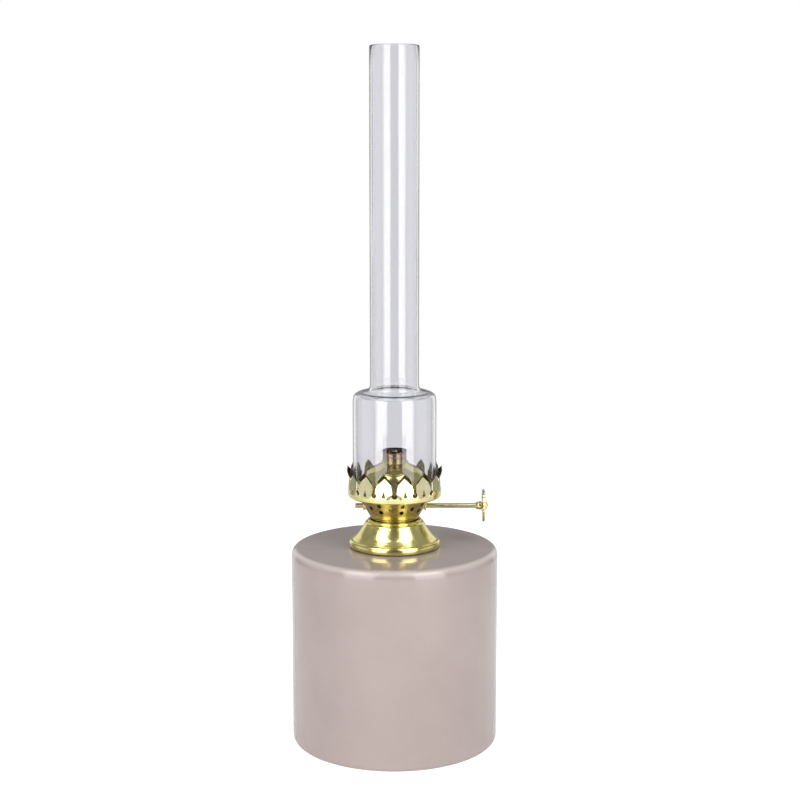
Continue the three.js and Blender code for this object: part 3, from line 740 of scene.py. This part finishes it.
def makeBowl():
    s = bowlShape
    low, high = span("air_bowl")
    foot, top = span("burner_skirt")[1].z, high.z + sheet
    wide = radiusOf("air_bowl") - s["flange"]
    narrow = s["neck"]
    slope = s["flare"] / (top - foot - s["footRise"] - s["rimDrop"])
    line = [(narrow - 0.3, low.z), (narrow - 0.3, foot + 0.05), (narrow - 0.12, foot + 0.5),
            (narrow + 0.15, foot + 1.1), ((narrow + wide) / 2, (foot + top) / 2 + 0.05),
            (wide - 0.1, top - 0.95), (wide + 0.25, top - 0.58), (wide + s["flange"], top - 0.46)]
    bowl = turned("perforated_bowl", sheetOutline(smoothLine(line, 5), sheet), finishes["bowlBrassShaded"], 180)
    middle = foot + (top - foot) * s["middleRow"]
    holes = []
    for i in range(s["columns"] * 2):
        angle = (i / 2 + s["firstHole"]) * 2 * math.pi / s["columns"]
        for z in [middle] if i % 2 else [middle - s["rowStep"], middle + s["rowStep"]]:
            away = Vector((math.sin(angle), -math.cos(angle), 0))
            reach = narrow + slope * (z - foot - s["footRise"])
            besideShaft = math.hypot(away.y * reach - shaft["y"], z - shaft["z"])
            if besideShaft > s["hole"] + bushing["flange"] + 0.3:
                holes.append(rodMesh(away * (reach + 0.2) + Vector((0, 0, z)), away, s["hole"], 3, 24))
    holes.append(rodMesh((0, shaft["y"], shaft["z"]), (1, 0, 0), bushing["outer"] + 0.2, 60, 48))
    place(cut(bowl, holes), "burner", "bright_brass", "air_bowl")


makeBowl()
print("bowl ready")


def between(pairs, at):
    for (a, low), (b, high) in zip(pairs, pairs[1:]):
        if at <= b:
            t = max(0.0, (at - a) / (b - a))
            return low + (high - low) * t
    return pairs[-1][1]


chimneyShape = {"wall": 1.2, "narrowBy": 7.0, "shoulderAt": 39.4}


def crownRows(s, tall, wide):
    # the sheet's section from its mouth to the leaves' tips, with extra rows where a piercing starts
    hem = s["hem"]
    bend = [(wide - s["wallGap"] - hem + hem * math.cos(a), hem + hem * math.sin(a))
            for a in (math.radians(-90 + 82 * k / 7) for k in range(8))]
    wall = smoothLine([bend[-1], (wide - 0.05, 4), (wide - 0.35, 7.0), (wide - 0.95, 9.4),
                       (wide - 1.45, tall)], 16)
    flat = [(s["mouth"] + (bend[0][0] - s["mouth"]) * k / 4, 0) for k in range(4)]
    rows = [Vector(p) for p in flat + bend] + wall[1:]
    keyholeFoot = s["keyholeAt"] - s["keyhole"]
    for extra in (keyholeFoot + 0.005, keyholeFoot + 0.12, s["dropFoot"] + 0.004, s["dropFoot"] + 0.1):
        i = next(k for k, row in enumerate(rows) if row.y > extra)
        share = (extra - rows[i - 1].y) / (rows[i].y - rows[i - 1].y)
        rows.insert(i, rows[i - 1].lerp(rows[i], share))
    return rows


def leafEdges(s, h, full):
    # half width of a leaf at a height, and half width of the drop cut out of its middle
    half = full
    if h > s["keyholeAt"] - s["keyhole"]:
        slot = math.sqrt(max(0.0, s["keyhole"] ** 2 - (h - s["keyholeAt"]) ** 2))
        if h > s["keyholeAt"]:
            slot = max(slot, full - between(s["halfWidths"], max(h, s["waist"])))
        half = full - slot
    drop = 0.0
    if s["dropFoot"] < h < s["dropTop"]:
        rise = min(1.0, (h - s["dropFoot"]) / 0.35)
        taper = (s["dropTop"] - h) / (s["dropTop"] - s["dropFoot"])
        drop = s["dropHalf"] * math.sqrt(rise * (2 - rise)) * taper
    return half, drop


def leafReach(s, row, u, full):
    # distance from the axis: the leaf is flattened across, and its tip flicks out above the fold
    h = row.y
    onWall = max(0.0, min(1.0, (h - s["flatFrom"]) / s["flatFade"], (s["flatTo"] - h) / s["flatFade"]))
    past = max(0.0, h - s["foldAt"] + s["foldSlope"] * u)
    lift = s["flick"] * (past * past / 0.8 if past < 0.4 else past - 0.2)
    flicked = min(1.0, max(0.0, h - s["flickFrom"]) / s["flickFade"])
    return row.x - s["flatten"] * onWall * (0.5 - (u / full) ** 2) + lift * flicked


def makeCrown():
    s, count = crownShape, crownShape["acrossHalf"]
    low, high = span("crown_gallery")
    wide = radiusOf("crown_gallery")
    wall = wide - s["wallGap"]
    full = math.pi * wall / s["leaves"]
    rows = crownRows(s, high.z - low.z, wide)
    points, faces = [], []
    for leaf in range(s["leaves"]):
        middle = 2 * math.pi * (leaf + 0.5) / s["leaves"] - math.pi / 2
        for side in (-1, 1):
            start = len(points)
            for row in rows:
                half, drop = leafEdges(s, row.y, full)
                for k in range(count + 1):
                    u = drop + (half - drop) * k / count
                    r = leafReach(s, row, u, full)
                    angle = middle + side * u / wall
                    points.append((r * math.cos(angle), r * math.sin(angle), low.z + row.y))
            for i in range(len(rows) - 1):
                for k in range(count):
                    a = start + i * (count + 1) + k
                    quad = (a, a + 1, a + count + 2, a + count + 1)
                    faces.append(quad if side > 0 else quad[::-1])
    crown = addObject("leaf_crown", points, faces, finishes["leafBrassPaintedLight"])
    probe = min(crown.data.polygons, key=lambda face: abs(face.center.z - (low.z + 7) * mm))
    outward = probe.normal.dot(Vector((probe.center.x, probe.center.y, 0))) > 0
    settle(crown,
           ("SOLIDIFY", {"thickness": sheet * mm, "offset": -1 if outward else 1, "use_even_offset": False}),
           ("BEVEL", {"width": s["edge"] * mm, "segments": 2, "limit_method": "ANGLE",
                      "angle_limit": math.radians(50)}))
    ringAt = (radiusOf("air_dome") + radiusOf("chimney") - chimneyShape["wall"]) / 2
    holes = []
    for k in range(s["leaves"]):
        angle = 2 * math.pi * k / s["leaves"]
        holes.append(rodMesh((ringAt * math.sin(angle), -ringAt * math.cos(angle), low.z), (0, 0, 1),
                             s["draughtHole"], 3, 16))
    place(cut(crown, holes), "burner", "bright_brass", "crown_gallery")


makeCrown()
print("crown ready")


floorTop = span("burner_floor")[1].z
tube = {"radius": radiusOf("wick_tube") - 0.6, "wall": 0.35, "spread": 0.6, "wickSpace": 2.1,
        "coneTop": span("air_dome")[0].z + 1, "coneFoot": floorTop + 0.3,
        "windowFoot": floorTop + 3, "wheelGap": 0.3, "rib": 0.4, "ribTop": floorTop + 2.6}
domeGap = 0.35  # between the dome's mouth and the wick tube


def makeDome():
    low, high = span("air_dome")
    foot, mouth, tall = radiusOf("air_dome"), tube["radius"] + domeGap, high.z - low.z
    line = [(foot, low.z + 1.6), (foot * 0.975, low.z + tall * 0.33), (foot * 0.81, low.z + tall * 0.652),
            (mouth + (foot - mouth) * 0.45, low.z + tall * 0.82),
            (mouth + 0.8, low.z + tall * 0.955), (mouth, high.z)]
    outline = sheetOutline([Vector((foot, low.z))] + smoothLine(line, 9), sheet)
    place(turned("burner_dome", outline, finishes["domeBrass"], 200), "burner", "bright_brass", "air_dome")


def tubeAt(z):
    share = (tube["coneTop"] - z) / (tube["coneTop"] - tube["coneFoot"])
    return tube["radius"] + tube["spread"] * max(0.0, min(1.0, share))


def tubeLine(low, high, inset):
    levels = [low, tube["coneFoot"]]
    levels += [tube["coneFoot"] + (tube["coneTop"] - tube["coneFoot"]) * k / 8 for k in range(1, 9)]
    levels += [tube["coneTop"] + (high - tube["coneTop"]) * k / 8 for k in range(1, 9)]
    return [Vector((tubeAt(z) - inset, z)) for z in levels]


def airWindow():
    # a pointed window in the front of both tubes
    foot = tube["windowFoot"]
    tall = span("burner_skirt")[1].z + 3 - foot
    right = [(1.5, 0), (1.42, 0.3), (1.1, 0.6), (0.6, 0.85)]  # half width, share of the height
    outline = [(half, foot + tall * up) for half, up in right] + [(0, foot + tall)]
    outline = [(-right[0][0], foot)] + outline + [(-half, foot + tall * up) for half, up in right[:0:-1]]
    return prismMesh(outline, 0.2, 10)


def makeTubes():
    wall, radius, gap = tube["wall"], tube["radius"], tube["wheelGap"]
    low, high = span("wick_tube")
    outer = turned("wick_holder", sheetOutline(tubeLine(low.z, high.z, 0), wall, 4), finishes["tubeBrass"], 144)
    wheelLow, wheelHigh = span("raiser_wheel_left")[0].z - gap, span("raiser_wheel_left")[1].z + gap
    half = span("raiser_wheel_right")[1].x + gap
    window = prismMesh([(-half, wheelLow), (half, wheelLow), (half, wheelHigh), (-half, wheelHigh)],
                       radius * 0.7, radius * 1.8, math.pi)
    place(cut(outer, [window, airWindow()]), "burner", "inner_brass", "wick_tube")
    low, high = span("draught_tube")
    inset = wall + tube["wickSpace"]
    line = tubeLine(low.z, high.z, inset)
    shell = [p for p in sheetOutline(line, wall, 4)
             if p.x > line[0].x - 0.01 or p.y > tube["coneFoot"] - 0.01]  # the closed foot takes the rest
    inner = turned("draught_pipe", [Vector((0, low.z))] + shell + [Vector((0, tube["coneFoot"]))],
                   finishes["tubeBrass"], 120)
    foot = tubeAt(low.z)
    rib = prismMesh([(-tube["rib"], low.z), (tube["rib"], low.z), (tube["rib"], tube["ribTop"]),
                     (-tube["rib"], tube["ribTop"])], foot - inset - wall, foot - wall - 0.3)
    place(cut(cut(inner, [rib], "UNION"), [airWindow()]), "burner", "inner_brass", "draught_tube")


makeDome()
makeTubes()
print("tubes ready")


def makeChimney():
    low, high = span("chimney")
    wide = radiusOf("chimney")
    wall, narrow = chimneyShape["wall"], wide - chimneyShape["narrowBy"]
    shoulder = low.z + chimneyShape["shoulderAt"]
    bend = smoothLine([(wide, shoulder - 2.0), (wide - 0.12, shoulder - 0.1), (wide - 0.75, shoulder + 1.5),
                       (wide - 2.3, shoulder + 2.5), (wide - 4.4, shoulder + 3.05),
                       (narrow + 0.75, shoulder + 3.75), (narrow + 0.12, shoulder + 4.9),
                       (narrow, shoulder + 6.6)], 8)
    foot = [Vector((wide, low.z + 0.75 + (shoulder - low.z - 3) * k / 6)) for k in range(7)]
    flue = [Vector((narrow, shoulder + 8 + (high.z - 0.75 - shoulder - 8) * k / 12)) for k in range(13)]
    glass = turned("glass_chimney", sheetOutline(foot + bend + flue, wall, 8), finishes["glass"], 192)
    place(glass, "chimney", "clear_glass", "chimney")


makeChimney()
print("chimney ready")


wick = {"thick": 1.1, "seam": math.radians(16), "play": 0.4, "across": 96, "along": 150,
        "opensAt": span("wick_tube")[0].z - 9, "opensOver": 18, "opens": 0.93,
        "ribs": 22, "rib": 0.05, "fray": 0.10}


def wickMiddle(z):
    # the radius of the rolled wick's middle layer, inside the tube
    return tubeAt(z) - tube["wall"] - wick["play"] - wick["thick"] / 2


def wickPoint(i, j, face, foot, top, width):
    # column i, row j, inner or outer face: rolled in the tube, opened flat below it
    n, m = wick["across"], wick["along"]
    z = foot + (top - foot) * j / m
    t = max(0.0, min(1.0, (wick["opensAt"] - z) / wick["opensOver"]))
    rolled = wickMiddle(z)
    middle = rolled / (1 - wick["opens"] * t * t * (3 - 2 * t))
    across = (i / n - 0.5) * width
    edge = min(i, n - i, (m - j) * 0.8, j) / 1.5
    thick = wick["thick"] / 2 * min(1.0, 0.55 + 0.45 * edge)
    ribs = wick["rib"] * (math.cos(2 * math.pi * wick["ribs"] * i / n) - 1)
    fray = wick["fray"] * math.sin(i * 2.4) * math.sin(i * 0.9) if j == m else 0
    radius = middle + face * (thick + ribs * min(1.0, edge))
    angle = across / middle
    return ((radius * math.sin(angle), rolled - middle + radius * math.cos(angle), z + min(0.0, fray)),
            (across, z - foot))


def makeWick():
    low, high = span("wick")
    width = wickMiddle(high.z) * (2 * math.pi - wick["seam"])
    n, m = wick["across"], wick["along"]
    grid = [wickPoint(i, j, face, low.z, high.z, width)
            for face in (-1, 1) for j in range(m + 1) for i in range(n + 1)]
    faces = []
    layer = (n + 1) * (m + 1)
    for face in (0, 1):
        for j in range(m):
            for i in range(n):
                a = face * layer + j * (n + 1) + i
                quad = (a, a + 1, a + n + 2, a + n + 1)
                faces.append(quad if face else quad[::-1])
    rim = list(range(n + 1)) + [j * (n + 1) + n for j in range(1, m + 1)]
    rim += [m * (n + 1) + i for i in range(n - 1, -1, -1)] + [j * (n + 1) for j in range(m - 1, 0, -1)]
    faces += [(a, b, b + layer, a + layer) for a, b in zip(rim, rim[1:] + rim[:1])]
    band = bpy.data.meshes.new("wick_band")
    points, spots = zip(*grid)
    band.from_pydata([Vector(point) * mm for point in points], [], faces)
    uv = band.uv_layers.new(name="cloth")
    for loop in band.loops:
        uv.data[loop.index].uv = spots[loop.vertex_index]
    work = bmesh.new()
    work.from_mesh(band)
    bmesh.ops.recalc_face_normals(work, faces=work.faces)
    work.to_mesh(band)
    work.free()
    band.materials.append(finishes["cotton"])
    band.polygons.foreach_set("use_smooth", [True] * len(band.polygons))
    piece = bpy.data.objects.new("wick_band", band)
    scene.collection.objects.link(piece)
    place(piece, "wick", "cotton", "wick")


makeWick()
print("wick ready")


knob = {"notches": 28, "notch": 0.16, "dish": 0.28, "boreGap": 0.2, "hubStep": 0.25}


def turnedAlongX(name, outline, finish, segments=64, wave=None):
    # turns a closed (r, x) outline round the raiser's shaft
    piece = turned(name, outline, finish, segments, wave)
    piece.data.transform(Matrix.Translation((0, shaft["y"] * mm, shaft["z"] * mm))
                         @ Matrix.Rotation(math.pi / 2, 4, "Y"))
    return piece


def barrel(inner, outer, start, end, bend=0.15, steps=4):
    if inner <= 0:
        return rounded([(0, start, 0), (outer, start, bend), (outer, end, bend), (0, end, 0)], steps)
    return rounded([(inner, start, bend * 0.5), (outer, start, bend), (outer, end, bend),
                    (inner, end, bend * 0.5)], steps)


def makeRaiser():
    low, high = span("raiser_shaft")
    thick = (high.z - low.z) / 2
    rod = turnedAlongX("raiser_rod", barrel(0, thick, low.x, high.x, 0.3), finishes["rod"], 56)
    place(rod, "raiser", "steel", "raiser_shaft")

    low, high = span("knob_disc")
    rim = (high.z - low.z) / 2
    bore = thick + knob["boreGap"]
    dish = knob["dish"]
    outline = [(bore, low.x + 0.1), (bore + 0.1, low.x), (rim * 0.55, low.x), (rim * 0.72, low.x + dish * 0.4),
               (rim * 0.86, low.x + dish * 0.15), (rim - 0.35, low.x), (rim - 0.1, low.x + 0.06),
               (rim, low.x + 0.2), (rim, high.x - 0.2), (rim - 0.1, high.x - 0.06), (rim - 0.35, high.x),
               (rim * 0.86, high.x - dish * 0.15), (rim * 0.72, high.x - dish),
               (rim * 0.5, high.x - dish * 1.1), (rim * 0.36, high.x - dish * 0.4),
               (bore + 0.1, high.x), (bore, high.x - 0.1)]

    def milled(angle, r, x):
        return -knob["notch"] * (0.5 - 0.5 * math.cos(knob["notches"] * angle)) if r > rim - 0.12 else 0

    disc = turnedAlongX("knob_wheel", outline, finishes["knobBrass"], knob["notches"] * 10, milled)
    place(keepCreases(disc, 50), "raiser", "bright_brass", "knob_disc")

    low, high = span("knob_hub")
    outer = (high.z - low.z) / 2
    neck = outer - knob["hubStep"]
    sleeve = turnedAlongX("knob_sleeve", rounded([
        (bore, low.x, 0.05), (neck, low.x, 0.15), (neck, low.x + 0.9, 0.2), (outer, low.x + 1.2, 0.2),
        (outer, high.x, 0.15), (bore, high.x, 0.05)]), finishes["knobBrass"])
    place(sleeve, "raiser", "bright_brass", "knob_hub")

    low, high = span("knob_rivet")
    outer, tall = (high.z - low.z) / 2, high.x - low.x
    head = [(0, low.x), (outer * 0.96, low.x)] + [(outer * math.cos(a), low.x + tall * math.sin(a))
            for a in (math.pi / 2 * k / 10 for k in range(10))] + [(0, high.x)]
    place(turnedAlongX("rivet_head", head, finishes["knobBrass"], 56), "raiser", "bright_brass", "knob_rivet")

    low, high = span("shaft_stop_ring")
    stop = turnedAlongX("stop_ring", barrel(bore, (high.z - low.z) / 2, low.x, high.x, 0.12), finishes["steel"])
    place(stop, "raiser", "steel", "shaft_stop_ring")

    for side, node in ((1, "shaft_bushing_right"), (-1, "shaft_bushing_left")):
        low, high = span(node)
        near, far = (low.x, high.x) if side > 0 else (high.x, low.x)
        step = far - side * bushing["lip"]
        outline = rounded([(bushing["bore"], near, 0.05), (bushing["outer"], near, 0.1),
                           (bushing["outer"], step, 0.05), (bushing["flange"], step, 0.12),
                           (bushing["flange"], far, 0.18), (bushing["bore"], far, 0.12)])
        sleeve = turnedAlongX(node.replace("shaft_bushing", "bearing"), outline, finishes["knobBrass"])
        place(sleeve, "burner", "bright_brass", node)


plate = {"gap": 0.3, "vent": 0.9, "boreRound": 0.1, "round": 0.15}


def makePlate():
    low, high = span("burner_floor")
    bore, outer = tubeAt(low.z) + plate["gap"], radiusOf("burner_floor")
    outline = rounded([(bore, low.z, plate["boreRound"]), (outer, low.z, plate["round"]),
                       (outer, high.z, plate["round"]), (bore, high.z, plate["boreRound"])])
    disc = turned("burner_plate", outline, finishes["innerBrass"])
    vent = rodMesh((-radiusOf("burner_skirt") / 2, 0, low.z), (0, 0, 1), plate["vent"], 4, 32)
    place(cut(disc, [vent]), "burner", "inner_brass", "burner_floor")


makeRaiser()
makePlate()


def dressHidden():
    # nodes kept from the model: a finish, softened edges
    for name, finish, slot in (("raiser_wheel_right", "steel", "steel"),
                               ("raiser_wheel_left", "steel", "steel"),
                               ("raiser_cover", "innerBrass", "inner_brass")):
        node = frame["nodes"][name]
        node.data.materials.clear()
        node.data.materials.append(finishes[finish])
        softened = node.modifiers.new("Edges", "BEVEL")
        softened.width, softened.segments, softened.limit_method = 0.06 * mm, 2, "ANGLE"


dressHidden()
print("raiser ready")
